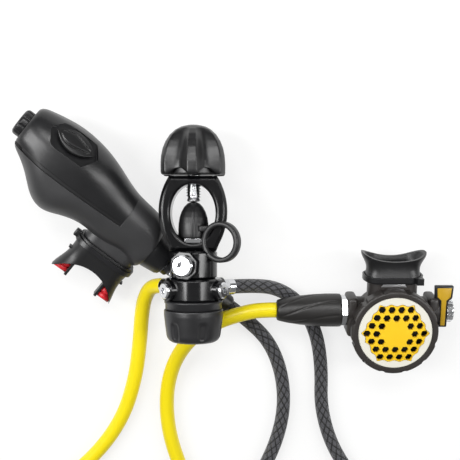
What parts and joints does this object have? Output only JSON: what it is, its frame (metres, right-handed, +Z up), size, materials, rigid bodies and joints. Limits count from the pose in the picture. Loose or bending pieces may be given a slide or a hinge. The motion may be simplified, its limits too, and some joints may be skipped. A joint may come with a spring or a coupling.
{
  "type": "scuba regulator set",
  "caption": "Yoke first stage with two breathing hoses, a side-breather primary second stage and a round octopus, laid flat.",
  "frame": {"origin": "middle of the floor under the rigid pieces, hoses left out", "axes": "+Z up from the table, +Y from the end cap towards the yoke knob in plan, +X towards the octopus"},
  "size_m": [0.378, 0.5019, 0.0743],
  "materials": {
    "satin_black": "satin moulded",
    "gloss_black": "gloss coated brass",
    "chrome": "chrome plated",
    "steel": "satin",
    "black_rubber": "matt",
    "grey_rubber": "matt",
    "clear_rubber": "matt",
    "black_nylon": "satin moulded",
    "grey_nylon": "satin moulded",
    "red_rubber": "satin",
    "braided_hose": "braided",
    "yellow_rubber": "satin",
    "yellow_nylon": "satin",
    "white_nylon": "satin"
  },
  "bodies": {
    "root": {"end_cap": "satin_black", "turret_sleeve": "satin_black", "yoke": "gloss_black", "first_stage_body": "gloss_black", "lp_turret": "gloss_black", "high_pressure_plug": "chrome", "lp_port_plugs": "chrome", "yoke_retainer": "chrome", "primary_lp_fitting": "chrome", "octopus_lp_fitting": "chrome", "primary_inlet_nut": "chrome", "octopus_inlet_nut": "chrome", "primary_valve_tube": "chrome", "octopus_valve_tube": "chrome", "inlet_filter": "steel", "valve_poppet": "steel", "valve_seat": "steel", "dust_cap_strap": "black_rubber", "primary_mouthpiece": "black_rubber", "octopus_mouthpiece": "black_rubber", "octopus_hose_protector": "black_rubber", "primary_seam_gasket": "black_rubber", "primary_hose_protector": "grey_rubber", "main_diaphragm": "clear_rubber", "primary_front_cover": "black_nylon", "primary_neck_sleeve": "black_nylon", "primary_swivel_ring": "black_nylon", "octopus_housing": "black_nylon", "octopus_retaining_ring": "black_nylon", "octopus_exhaust_cover": "black_nylon", "primary_tie_strap": "black_nylon", "octopus_tie_strap": "black_nylon", "primary_rear_case": "grey_nylon", "primary_bite_pads": "red_rubber", "primary_hose": "braided_hose", "octopus_hose": "yellow_rubber", "octopus_trim_ring": "white_nylon"},
    "screw": {"yoke_screw": "chrome", "screw_foot": "steel"},
    "knob": {"yoke_knob": "satin_black"},
    "cap": {"dust_cap": "black_rubber"},
    "primary_button": {"primary_purge_button": "black_nylon"},
    "primary_membrane": {"primary_diaphragm": "clear_rubber"},
    "primary_lever": {"primary_demand_lever": "steel"},
    "primary_control": {"primary_end_knob": "black_nylon"},
    "octopus_cover": {"octopus_purge_cover": "yellow_nylon"},
    "octopus_membrane": {"octopus_diaphragm": "clear_rubber"},
    "octopus_lever": {"octopus_demand_lever": "steel"},
    "octopus_venturi": {"octopus_venturi_lever": "yellow_nylon"},
    "octopus_adjuster": {"octopus_adjust_knob": "chrome"}
  },
  "joints": [
    {"name": "yoke_knob_turn", "type": "hinge", "parent": "screw", "child": "knob", "pos_m": [-0.0341, 0.06879, 0.02529], "axis": [0, 0.9781, -0.2079], "range_deg": [0, 2165]},
    {"name": "yoke_screw_travel", "type": "slide", "parent": "root", "child": "screw", "axis": [0, 0.9781, -0.2079], "range_m": [0, 0.012]},
    {"name": "dust_cap_lift", "type": "slide", "parent": "root", "child": "cap", "axis": [0, 0.9781, -0.2079], "range_m": [0, 0.005]},
    {"name": "primary_purge", "type": "slide", "parent": "root", "child": "primary_button", "axis": [-0.4936, -0.4593, -0.7385], "range_m": [0, 0.0025], "stiffness_N_per_m": 300},
    {"name": "primary_diaphragm_flex", "type": "slide", "parent": "root", "child": "primary_membrane", "axis": [-0.6428, -0.766, 0], "range_m": [0, 0.002]},
    {"name": "primary_lever_tilt", "type": "hinge", "parent": "root", "child": "primary_lever", "pos_m": [-0.11055, 0.03824, 0.02402], "axis": [0.0854, -0.0716, 0.9938], "range_deg": [0, 6]},
    {"name": "primary_flow_knob_turn", "type": "hinge", "parent": "root", "child": "primary_control", "pos_m": [-0.15492, 0.08944, 0.03152], "axis": [-0.7613, 0.6388, 0.1115], "range_deg": [-60, 60]},
    {"name": "octopus_purge", "type": "slide", "parent": "root", "child": "octopus_cover", "axis": [0, 0, -1], "range_m": [0, 0.002], "stiffness_N_per_m": 300},
    {"name": "octopus_diaphragm_flex", "type": "slide", "parent": "root", "child": "octopus_membrane", "axis": [0, 0, -1], "range_m": [0, 0.0015]},
    {"name": "octopus_lever_tilt", "type": "hinge", "parent": "root", "child": "octopus_lever", "pos_m": [0.1179, -0.055, 0.03005], "axis": [1, 0, 0], "range_deg": [0, 4]},
    {"name": "octopus_venturi_turn", "type": "hinge", "parent": "root", "child": "octopus_venturi", "pos_m": [0.1549, -0.05425, 0.024], "axis": [1, 0, 0], "range_deg": [-45, 10]},
    {"name": "octopus_adjust_turn", "type": "hinge", "parent": "root", "child": "octopus_adjuster", "pos_m": [0.1609, -0.05425, 0.024], "axis": [1, 0, 0], "range_deg": [-180, 180]}
  ],
  "couplings": [
    {"joint": "yoke_knob_turn", "follows": "yoke_screw_travel", "rad_per_m": 3141.6},
    {"joint": "dust_cap_lift", "follows": "yoke_screw_travel", "ratio": 0.4},
    {"joint": "primary_diaphragm_flex", "follows": "primary_purge", "ratio": 0.6},
    {"joint": "primary_lever_tilt", "follows": "primary_purge", "rad_per_m": 30},
    {"joint": "octopus_diaphragm_flex", "follows": "octopus_purge", "ratio": 0.6},
    {"joint": "octopus_lever_tilt", "follows": "octopus_purge", "rad_per_m": 30}
  ]
}
